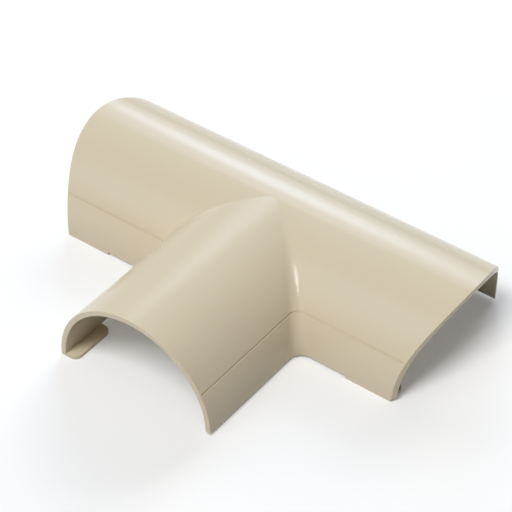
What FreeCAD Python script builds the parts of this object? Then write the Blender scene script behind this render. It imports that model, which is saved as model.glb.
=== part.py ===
"""Half-round trunking tee: one moulded cover that clips over a run and a branch of 50 mm trunking.

The run lies along X and the branch leaves it towards -Y. The origin is where the centre lines of the
run and of the branch cross, on the plane that the feet stand on. Millimetres throughout.
"""
import FreeCAD, Part
import math
import os
import Sketcher

NODE = "tee_cover"

# Driving sizes, by the name that the expressions use
SIZES = {
    "outer_radius": 27.0,         # half-round outside of the run
    "branch_step_in": 0.1,        # how much smaller the branch is, so that it closes under the run
    "wall": 1.7,                  # thickness of the moulded wall
    "run_half_length": 59.2,      # from the branch's centre line to a run mouth, at the wall's lower edge
    "end_bulge": 8.4,             # how much further the middle of a run mouth bows out, in plan
    "branch_reach": 67.7,         # from the run's centre line to the branch mouth
    "right_valley_radius": 4.2,   # outside radius of the hollow corner between run and branch, at the
    "left_valley_radius": 1.0,    # wall's lower edge on either side: it changes evenly over the crossing
    "rim_radius": 0.2,            # slight rounding of the edges round the three mouths
    "foot_thickness": 1.1,        # the feet hold the wall's lower edge this far off the floor
    "foot_corner_radius": 2.3,
    "foot_set_back": 0.25,        # from a mouth to the foot beside it, clear of the rounded rim
    "run_foot_length": 15.5,      # foot beside each run mouth, under the wall on the branch side
    "run_foot_reach": 5.1,        # how far a foot comes in past the inside of the wall
    "branch_foot_length": 15.5,   # foot beside the branch mouth, on its left side
    "branch_foot_reach": 3.8,
    "back_foot_length": 30.0,     # foot under the middle of the back wall
    "back_foot_reach": 3.5,
    "scribe_height": 13.6,        # middle of the shallow line that runs round the side walls
    "scribe_width": 0.5,
    "scribe_depth": 0.25,
    "scribe_end_gap": 0.3,        # how far short of the mouths it stops, clear of the rounded rims
    "cutting_margin": 2.0,        # how far a cutting shape runs past what it cuts
}
BRANCH_RADIUS = "(sizes.outer_radius - sizes.branch_step_in)"
BOW_RADIUS = "((sizes.outer_radius ^ 2 + sizes.end_bulge ^ 2) / (2 * sizes.end_bulge))"

# How a sketch numbers its own axes, the first of which starts at its origin, and an element's points
ORIGIN, VERTICAL_AXIS = range(-1, -3, -1)
START, END, CENTRE = range(1, 4)


def add_sheet(doc):
    """The driving sizes as a spreadsheet whose cells carry those names."""
    sheet = doc.addObject("Spreadsheet::Sheet", "sizes")
    for row, (name, value) in enumerate(SIZES.items(), start=1):
        sheet.set(f"A{row}", name)
        sheet.set(f"B{row}", str(value))
        sheet.setAlias(f"B{row}", name)
    doc.recompute()


def bind(feature, **expressions):
    """Ties properties of a feature to the sheet."""
    for name, expression in expressions.items():
        feature.setExpression(name, expression)


def add_sketch(body, name, plane_role):
    """An empty sketch on one of the body's own origin planes."""
    plane = next(feature for feature in body.Origin.OriginFeatures if feature.Role == plane_role)
    sketch = body.newObject("Sketcher::SketchObject", name)
    sketch.AttachmentSupport = [(plane, "")]
    sketch.MapMode = "FlatFace"
    return sketch


def dimension(sketch, name, expression, *constraint):
    """A named sketch dimension that follows the sheet."""
    index = sketch.addConstraint(Sketcher.Constraint(*constraint))
    sketch.renameConstraint(index, name)
    sketch.setExpression(f"Constraints.{name}", expression)


def draw_half_round(sketch, radius):
    """Half circle that stands on the level of the wall's lower edge."""
    size = SIZES["outer_radius"]
    foot = SIZES["foot_thickness"]
    circle = Part.Circle(FreeCAD.Vector(0, foot, 0), FreeCAD.Vector(0, 0, 1), size)
    arc = sketch.addGeometry(Part.ArcOfCircle(circle, 0, math.pi))
    left, right = FreeCAD.Vector(-size, foot, 0), FreeCAD.Vector(size, foot, 0)
    base = sketch.addGeometry(Part.LineSegment(left, right))
    sketch.addConstraint(Sketcher.Constraint("Coincident", arc, START, base, END))
    sketch.addConstraint(Sketcher.Constraint("Coincident", arc, END, base, START))
    sketch.addConstraint(Sketcher.Constraint("Horizontal", base))
    sketch.addConstraint(Sketcher.Constraint("PointOnObject", arc, CENTRE, base))
    sketch.addConstraint(Sketcher.Constraint("PointOnObject", arc, CENTRE, VERTICAL_AXIS))
    dimension(sketch, "foot", "sizes.foot_thickness", "DistanceY", ORIGIN, START, arc, CENTRE, foot)
    dimension(sketch, "radius", radius, "Radius", arc, size)


def crossing_edges(shape):
    """Where the branch runs into the run: the only edges that lead across, along and upwards at once."""
    numbered = []
    for number, edge in enumerate(shape.Edges, start=1):
        box = edge.BoundBox
        if min(box.XLength, box.YLength, box.ZLength) > SIZES["wall"]:
            numbered.append((number, edge))
    return numbered


def add_valleys(doc, name, body, inset):
    """The same form with a hollow corner along the crossing."""
    valleys = doc.addObject("Part::Fillet", name)
    valleys.Base = body
    left = valleys.evalExpression(f"sizes.left_valley_radius + {inset}")
    right = valleys.evalExpression(f"sizes.right_valley_radius + {inset}")
    half_width = valleys.evalExpression(f"{BRANCH_RADIUS} - {inset}")
    rounded = []
    for number, edge in crossing_edges(body.Shape):
        ends = edge.valueAt(edge.FirstParameter), edge.valueAt(edge.LastParameter)
        shares = [(end.x + half_width) / (2 * half_width) for end in ends]
        rounded.append((number, *[left + share * (right - left) for share in shares]))
    valleys.Edges = rounded
    doc.recompute()
    return valleys


def add_tee_form(doc, name, inset, branch_length):
    """Solid tee of half-round section, its outside moved in by an inset from the moulding's own."""
    body = doc.addObject("PartDesign::Body", name)
    run_section = add_sketch(body, f"{name}_run_section", "YZ_Plane")
    draw_half_round(run_section, f"sizes.outer_radius - {inset}")
    run = body.newObject("PartDesign::Pad", f"{name}_run")
    run.Profile = run_section
    run.SideType = "Symmetric"
    bind(run, Length="2 * (sizes.run_half_length + sizes.end_bulge + sizes.cutting_margin)")
    branch_section = add_sketch(body, f"{name}_branch_section", "XZ_Plane")
    draw_half_round(branch_section, f"{BRANCH_RADIUS} - {inset}")
    branch = body.newObject("PartDesign::Pad", f"{name}_branch")
    branch.Profile = branch_section
    branch.Refine = True
    bind(branch, Length=branch_length)
    doc.recompute()
    return add_valleys(doc, f"{name}_valleys", body, inset)


def add_boolean(doc, kind, name, base, tool):
    result = doc.addObject(f"Part::{kind}", name)
    result.Base = base
    result.Tool = tool
    return result


def add_scribe_ring(doc):
    """What the scribed line takes away: a thin slab outside a tee that is smaller by the line's depth."""
    core_reach = "sizes.branch_reach + sizes.cutting_margin"
    core = add_tee_form(doc, "scribe_core", "sizes.scribe_depth", core_reach)
    wall_offset_squared = "(sizes.outer_radius ^ 2 - (sizes.scribe_height - sizes.foot_thickness) ^ 2)"
    bow_centre = f"(sizes.run_half_length + sizes.end_bulge - {BOW_RADIUS})"
    mouth_there = f"{bow_centre} + sqrt({BOW_RADIUS} ^ 2 - {wall_offset_squared})"
    half_length = f"({mouth_there} - sizes.scribe_end_gap)"
    slab = doc.addObject("Part::Box", "scribe_slab")
    bind(
        slab,
        Length=f"2 * {half_length}",
        Width="sizes.outer_radius + sizes.branch_reach + 2 * sizes.cutting_margin",
        Height="sizes.scribe_width",
    )
    slab.setExpression("Placement.Base.x", f"-{half_length}")
    slab.setExpression("Placement.Base.y", "sizes.scribe_end_gap - sizes.branch_reach")
    slab.setExpression("Placement.Base.z", "sizes.scribe_height - sizes.scribe_width / 2")
    return add_boolean(doc, "Cut", "scribe_ring", slab, core)


def add_plan_limit(doc):
    """Block that ends the run: flat sides, with a bowed mouth at each end of the run."""
    height = "sizes.foot_thickness + sizes.outer_radius + sizes.cutting_margin"
    middle = doc.addObject("Part::Box", "limit_middle")
    bind(
        middle,
        Length="2 * sizes.run_half_length",
        Width="sizes.outer_radius + sizes.branch_reach + 2 * sizes.cutting_margin",
        Height=height,
    )
    middle.setExpression("Placement.Base.x", "-sizes.run_half_length")
    middle.setExpression("Placement.Base.y", "-(sizes.branch_reach + sizes.cutting_margin)")
    blocks = [middle]
    for side, sign, seam_turn in (("left", "-", 0), ("right", "", 180)):
        bow = doc.addObject("Part::Cylinder", f"limit_{side}_bow")
        bow.Placement.Rotation = FreeCAD.Rotation(FreeCAD.Vector(0, 0, 1), seam_turn)
        bind(bow, Radius=BOW_RADIUS, Height=height)
        crest = "sizes.run_half_length + sizes.end_bulge"
        bow.setExpression("Placement.Base.x", f"{sign}({crest} - {BOW_RADIUS})")
        blocks.append(bow)
    limit = doc.addObject("Part::MultiFuse", "plan_limit")
    limit.Shapes = blocks
    return limit


def rim_edges(shape):
    """The arched edges round the three mouths, outside and inside the wall."""
    run_end = SIZES["run_half_length"] - SIZES["wall"]
    branch_end = SIZES["branch_reach"] - SIZES["wall"]
    names = []
    for index, edge in enumerate(shape.Edges, start=1):
        box = edge.BoundBox
        arched = box.ZLength > SIZES["outer_radius"] / 2
        at_a_mouth = box.XMin > run_end or box.XMax < -run_end or box.YMax < -branch_end
        if arched and at_a_mouth:
            names.append(f"Edge{index}")
    return names


def add_soft_rims(doc, shell):
    """The same shell with the edges round its mouths slightly rounded."""
    body = doc.addObject("PartDesign::Body", "soft_rimmed_shell")
    body.BaseFeature = shell
    doc.recompute()
    base = body.Group[0]
    rims = body.newObject("PartDesign::Fillet", "mouth_rims")
    rims.Base = (base, rim_edges(base.Shape))
    bind(rims, Radius="sizes.rim_radius")
    return body


def draw_foot(sketch, kind):
    """Plan of a foot: X runs along the wall, Y runs inwards from the wall's outside."""
    length = SIZES[f"{kind}_length"]
    width = SIZES["wall"] + SIZES[f"{kind}_reach"]
    corners = [FreeCAD.Vector(x, y, 0) for x, y in ((0, 0), (length, 0), (length, width), (0, width))]
    lines = []
    for corner, following in zip(corners, corners[1:] + corners[:1]):
        lines.append(sketch.addGeometry(Part.LineSegment(corner, following)))
    for line, following in zip(lines, lines[1:] + lines[:1]):
        sketch.addConstraint(Sketcher.Constraint("Coincident", line, END, following, START))
    outside, far_end, inside, near_end = lines
    for line in (outside, inside):
        sketch.addConstraint(Sketcher.Constraint("Horizontal", line))
    for line in (far_end, near_end):
        sketch.addConstraint(Sketcher.Constraint("Vertical", line))
    sketch.addConstraint(Sketcher.Constraint("Coincident", outside, START, ORIGIN, START))
    dimension(sketch, "length", f"sizes.{kind}_length", "DistanceX", outside, START, outside, END, length)
    across = f"sizes.wall + sizes.{kind}_reach"
    dimension(sketch, "width", across, "DistanceY", far_end, START, far_end, END, width)


def inner_corner_edges(shape, width):
    """The upright edges at the two corners of a foot that lie inside the tee."""
    names = []
    for index, edge in enumerate(shape.Edges, start=1):
        box = edge.BoundBox
        upright = box.ZLength > max(box.XLength, box.YLength)
        if upright and box.YMin > width / 2:
            names.append(f"Edge{index}")
    return names


def add_foot(doc, name, kind, place, turn=0):
    """Thin plate under the wall's lower edge, flush with its outside, that comes in under the trunking."""
    body = doc.addObject("PartDesign::Body", name)
    plan = add_sketch(body, f"{name}_plan", "XY_Plane")
    draw_foot(plan, kind)
    plate = body.newObject("PartDesign::Pad", f"{name}_plate")
    plate.Profile = plan
    bind(plate, Length="sizes.foot_thickness")
    doc.recompute()
    corners = body.newObject("PartDesign::Fillet", f"{name}_corners")
    corners.Base = (plate, inner_corner_edges(plate.Shape, plate.Shape.BoundBox.YLength))
    bind(corners, Radius="sizes.foot_corner_radius")
    body.Placement.Rotation = FreeCAD.Rotation(FreeCAD.Vector(0, 0, 1), turn)
    for axis, expression in zip("xy", place):
        body.setExpression(f"Placement.Base.{axis}", expression)
    return body


def add_feet(doc):
    """One beside each run mouth, one on the left of the branch mouth and one behind, in the middle."""
    run_foot_end = "sizes.run_half_length - sizes.foot_set_back"
    left_place = (f"-({run_foot_end})", "-sizes.outer_radius")
    right_place = (f"{run_foot_end} - sizes.run_foot_length", "-sizes.outer_radius")
    branch_foot_start = "sizes.branch_foot_length + sizes.foot_set_back - sizes.branch_reach"
    branch_place = (f"-{BRANCH_RADIUS}", branch_foot_start)
    back_place = ("sizes.back_foot_length / 2", "sizes.outer_radius")
    return [
        add_foot(doc, "left_run_foot", "run_foot", left_place),
        add_foot(doc, "right_run_foot", "run_foot", right_place),
        add_foot(doc, "branch_mouth_foot", "branch_foot", branch_place, turn=-90),
        add_foot(doc, "back_wall_foot", "back_foot", back_place, turn=180),
    ]


def build(doc):
    """The whole moulding: hollow tee, bowed mouths, scribed line and feet, joined into one solid."""
    add_sheet(doc)
    outside = add_tee_form(doc, "outside", "0", "sizes.branch_reach")
    inside = add_tee_form(doc, "inside", "sizes.wall", "sizes.branch_reach + sizes.cutting_margin")
    shell = add_boolean(doc, "Cut", "shell", outside, inside)
    ended = add_boolean(doc, "Common", "ended_shell", shell, add_plan_limit(doc))
    scribed = add_boolean(doc, "Cut", "scribed_shell", add_soft_rims(doc, ended), add_scribe_ring(doc))
    cover = doc.addObject("Part::MultiFuse", NODE)
    cover.Shapes = [scribed] + add_feet(doc)
    cover.Refine = True
    cover.Label = NODE
    doc.recompute()
    return cover


def check(doc, cover):
    """Stops before anything is written if a feature failed or the result isn't one sound solid."""
    for feature in doc.Objects:
        if "Invalid" in feature.State or "Error" in feature.State:
            raise RuntimeError(f"{feature.Label} failed: {feature.State}")
    if cover.Shape.isNull() or not cover.Shape.isValid():
        raise RuntimeError(f"{cover.Label} has no sound shape")
    if len(cover.Shape.Solids) != 1:
        raise RuntimeError(f"{cover.Label} came out as {len(cover.Shape.Solids)} solids")


document = FreeCAD.newDocument("trunking_tee")
tee = build(document)
check(document, tee)
os.makedirs("parts", exist_ok=True)
tee.Shape.exportStep(f"parts/{tee.Label}.step")
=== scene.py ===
"""Looks of the trunking tee: satin moulded plastic on a pale studio floor under soft light."""
import bpy
import math
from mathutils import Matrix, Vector

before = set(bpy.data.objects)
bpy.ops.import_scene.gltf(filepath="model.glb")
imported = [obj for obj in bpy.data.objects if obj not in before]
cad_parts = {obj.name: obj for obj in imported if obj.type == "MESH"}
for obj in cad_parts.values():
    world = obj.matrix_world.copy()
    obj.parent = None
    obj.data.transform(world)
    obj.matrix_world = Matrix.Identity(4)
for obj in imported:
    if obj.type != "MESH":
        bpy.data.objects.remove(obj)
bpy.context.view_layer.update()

# The photograph's view: direction from the object to the camera, and the camera's place along it
VIEW_AZIMUTH = math.radians(36.965)
VIEW_ELEVATION = math.radians(41.72)
CAMERA_DISTANCE = 0.6432
CAMERA_ASIDE = -0.00666
CAMERA_ABOVE = 0.00276
SENSOR_WIDTH = 36.0
LENS = 151.4

# Where the lamps point, in metres
AIM = Vector((0.0, -0.015, 0.012))

# The lamps behind and on the left are cool like daylight, beside the neutral ones
NEUTRAL = (1.0, 1.0, 1.0)
COOL = (0.65, 0.79, 1.0)

# name, azimuth from +Y towards +X and elevation in degrees, distance, width, height, power, colour
SOFTBOXES = [
    ("wide_back_softbox", -32.0, 29.0, 1.0, 0.55, 0.70, 1.96, COOL),
    ("middle_back_softbox", -30.0, 29.0, 1.0, 0.30, 0.30, 1.08, COOL),
    ("small_back_softbox", -31.0, 30.0, 1.0, 0.15, 0.15, 0.21, COOL),
    ("high_back_softbox", -31.0, 42.0, 1.0, 0.40, 0.15, 0.31, COOL),
    ("left_softbox", -145.0, 40.0, 3.0, 1.05, 2.40, 11.7, COOL),
    ("side_softbox", -75.0, 30.0, 3.0, 1.05, 1.05, 7.4, NEUTRAL),
    ("rear_softbox", -5.0, 28.0, 3.0, 1.00, 1.05, 23.2, NEUTRAL),
    ("front_softbox", 180.0, 60.0, 3.0, 1.05, 1.05, 55.0, NEUTRAL),
    ("low_front_softbox", 180.0, 30.0, 3.0, 1.05, 1.05, 6.6, NEUTRAL),
    ("high_right_softbox", 150.0, 75.0, 3.0, 1.05, 1.05, 8.9, NEUTRAL),
]

# The world's light, and how pale it looks behind the floor, with 1 as white
AMBIENT = 0.066
BACKGROUND = 0.6
WHITE = (1.0, 1.0, 1.0, 1.0)

# The floor's width, and how far it lies under the feet so that the faces stay apart, in metres
FLOOR_SIZE = 8.0
FLOOR_DROP = 0.00003

# How much light the floor throws back, and how it is seen: a matte share, warm enough to look
# neutral under the cool lamps, and an even one
FLOOR_BOUNCE = (0.68, 0.68, 0.68, 1.0)
FLOOR_MATTE = (0.817, 0.807, 0.787, 1.0)
FLOOR_EVEN = 0.155

# The plastic: its two tints as read off a screen, its gloss, and the soft patches that vary both
DEEP_TINT = (210, 196, 169)
PALE_TINT = (213, 199, 172)
SPECULAR_LEVEL = 0.3
GLOSSIEST_ROUGHNESS = 0.18
DULLEST_ROUGHNESS = 0.22
PATCHES = {"scale": 35.0, "detail": 3.0}

# The plastic's faint grain, whose depth is in metres
GRAIN = {"scale": 1400.0, "detail": 2.0}
GRAIN_STRENGTH = 0.04
GRAIN_DEPTH = 0.0001


def linear(red, green, blue):
    """A colour as read off a screen, 0 to 255, in the linear values that shaders take."""
    def channel(value):
        value = value / 255
        return value / 12.92 if value <= 0.04045 else ((value + 0.055) / 1.055) ** 2.4
    return (channel(red), channel(green), channel(blue), 1.0)


def new_material(name):
    """An empty node material, with its nodes and links."""
    material = bpy.data.materials.new(name)
    material.use_nodes = True
    nodes = material.node_tree.nodes
    nodes.clear()
    return material, nodes, material.node_tree.links


def add_noise(nodes, links, where, scale, detail):
    """Noise that is fixed to the object."""
    noise = nodes.new("ShaderNodeTexNoise")
    noise.inputs["Scale"].default_value = scale
    noise.inputs["Detail"].default_value = detail
    links.new(where.outputs["Object"], noise.inputs["Vector"])
    return noise


def moulded_plastic():
    """Satin beige plastic with the faint unevenness of a moulding."""
    material, nodes, links = new_material("moulded_plastic")
    output = nodes.new("ShaderNodeOutputMaterial")
    shader = nodes.new("ShaderNodeBsdfPrincipled")
    shader.inputs["Specular IOR Level"].default_value = SPECULAR_LEVEL
    links.new(shader.outputs["BSDF"], output.inputs["Surface"])
    where = nodes.new("ShaderNodeTexCoord")

    patches = add_noise(nodes, links, where, **PATCHES)
    tint = nodes.new("ShaderNodeValToRGB")
    tint.color_ramp.elements[0].color = linear(*DEEP_TINT)
    tint.color_ramp.elements[1].color = linear(*PALE_TINT)
    links.new(patches.outputs["Fac"], tint.inputs["Fac"])
    links.new(tint.outputs["Color"], shader.inputs["Base Color"])

    gloss = nodes.new("ShaderNodeMapRange")
    gloss.inputs["To Min"].default_value = GLOSSIEST_ROUGHNESS
    gloss.inputs["To Max"].default_value = DULLEST_ROUGHNESS
    links.new(patches.outputs["Fac"], gloss.inputs["Value"])
    links.new(gloss.outputs["Result"], shader.inputs["Roughness"])

    grain = add_noise(nodes, links, where, **GRAIN)
    bump = nodes.new("ShaderNodeBump")
    bump.inputs["Strength"].default_value = GRAIN_STRENGTH
    bump.inputs["Distance"].default_value = GRAIN_DEPTH
    links.new(grain.outputs["Fac"], bump.inputs["Height"])
    links.new(bump.outputs["Normal"], shader.inputs["Normal"])
    return material


def seen_rays(nodes, links):
    """1 for the rays that show the floor or the world, 0 for the rays that carry their light."""
    path = nodes.new("ShaderNodeLightPath")
    glossy = nodes.new("ShaderNodeMath")
    glossy.operation = "MAXIMUM"
    links.new(path.outputs["Is Camera Ray"], glossy.inputs[0])
    links.new(path.outputs["Is Glossy Ray"], glossy.inputs[1])
    seen = nodes.new("ShaderNodeMath")
    seen.operation = "MAXIMUM"
    links.new(glossy.outputs["Value"], seen.inputs[0])
    links.new(path.outputs["Is Transmission Ray"], seen.inputs[1])
    return seen.outputs["Value"]


def studio_floor():
    """Matte pale floor, white to the camera where nothing shades it."""
    material, nodes, links = new_material("studio_floor")
    output = nodes.new("ShaderNodeOutputMaterial")
    bounce = nodes.new("ShaderNodeBsdfDiffuse")
    bounce.inputs["Color"].default_value = FLOOR_BOUNCE
    matte = nodes.new("ShaderNodeBsdfDiffuse")
    matte.inputs["Color"].default_value = FLOOR_MATTE
    even = nodes.new("ShaderNodeEmission")
    even.inputs["Strength"].default_value = FLOOR_EVEN
    look = nodes.new("ShaderNodeAddShader")
    links.new(matte.outputs["BSDF"], look.inputs[0])
    links.new(even.outputs["Emission"], look.inputs[1])
    either = nodes.new("ShaderNodeMixShader")
    links.new(seen_rays(nodes, links), either.inputs["Fac"])
    links.new(bounce.outputs["BSDF"], either.inputs[1])
    links.new(look.outputs["Shader"], either.inputs[2])
    links.new(either.outputs["Shader"], output.inputs["Surface"])
    material.cycles.emission_sampling = "NONE"
    return material


def add_floor():
    bpy.ops.mesh.primitive_plane_add(size=FLOOR_SIZE, location=(0.0, 0.0, -FLOOR_DROP))
    floor = bpy.context.object
    floor.name = "studio_floor"
    floor.data.materials.append(studio_floor())


def add_softbox(name, azimuth, elevation, distance, width, height, power, colour):
    """Soft lamp that faces the aim and that the camera doesn't see."""
    lamp = bpy.data.lights.new(name, "AREA")
    lamp.shape = "RECTANGLE"
    lamp.size = width
    lamp.size_y = height
    lamp.energy = power
    lamp.color = colour
    softbox = bpy.data.objects.new(name, lamp)
    bpy.context.scene.collection.objects.link(softbox)
    around, above = math.radians(azimuth), math.radians(elevation)
    towards = Vector((
        math.sin(around) * math.cos(above),
        math.cos(around) * math.cos(above),
        math.sin(above),
    ))
    softbox.location = AIM + distance * towards
    softbox.rotation_euler = towards.to_track_quat("Z", "Y").to_euler()
    softbox.visible_camera = False


def set_world():
    world = bpy.data.worlds.new("studio")
    bpy.context.scene.world = world
    world.use_nodes = True
    nodes, links = world.node_tree.nodes, world.node_tree.links
    background = nodes["Background"]
    background.inputs["Color"].default_value = WHITE
    strength = nodes.new("ShaderNodeMapRange")
    strength.inputs["To Min"].default_value = AMBIENT
    strength.inputs["To Max"].default_value = BACKGROUND
    links.new(seen_rays(nodes, links), strength.inputs["Value"])
    links.new(strength.outputs["Result"], background.inputs["Strength"])


def add_camera():
    back = Vector((
        math.sin(VIEW_AZIMUTH) * math.cos(VIEW_ELEVATION),
        -math.cos(VIEW_AZIMUTH) * math.cos(VIEW_ELEVATION),
        math.sin(VIEW_ELEVATION),
    ))
    right = Vector((math.cos(VIEW_AZIMUTH), math.sin(VIEW_AZIMUTH), 0.0))
    up = back.cross(right)
    data = bpy.data.cameras.new("camera")
    data.sensor_width = SENSOR_WIDTH
    data.lens = LENS
    camera = bpy.data.objects.new("camera", data)
    bpy.context.scene.collection.objects.link(camera)
    camera.location = CAMERA_ASIDE * right + CAMERA_ABOVE * up + CAMERA_DISTANCE * back
    camera.rotation_euler = (-back).to_track_quat("-Z", "Y").to_euler()
    bpy.context.scene.camera = camera


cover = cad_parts["tee_cover"]
cover.data.materials.clear()
cover.data.materials.append(moulded_plastic())

add_floor()
for softbox in SOFTBOXES:
    add_softbox(*softbox)
set_world()
add_camera()
bpy.context.scene.view_settings.view_transform = "Standard"
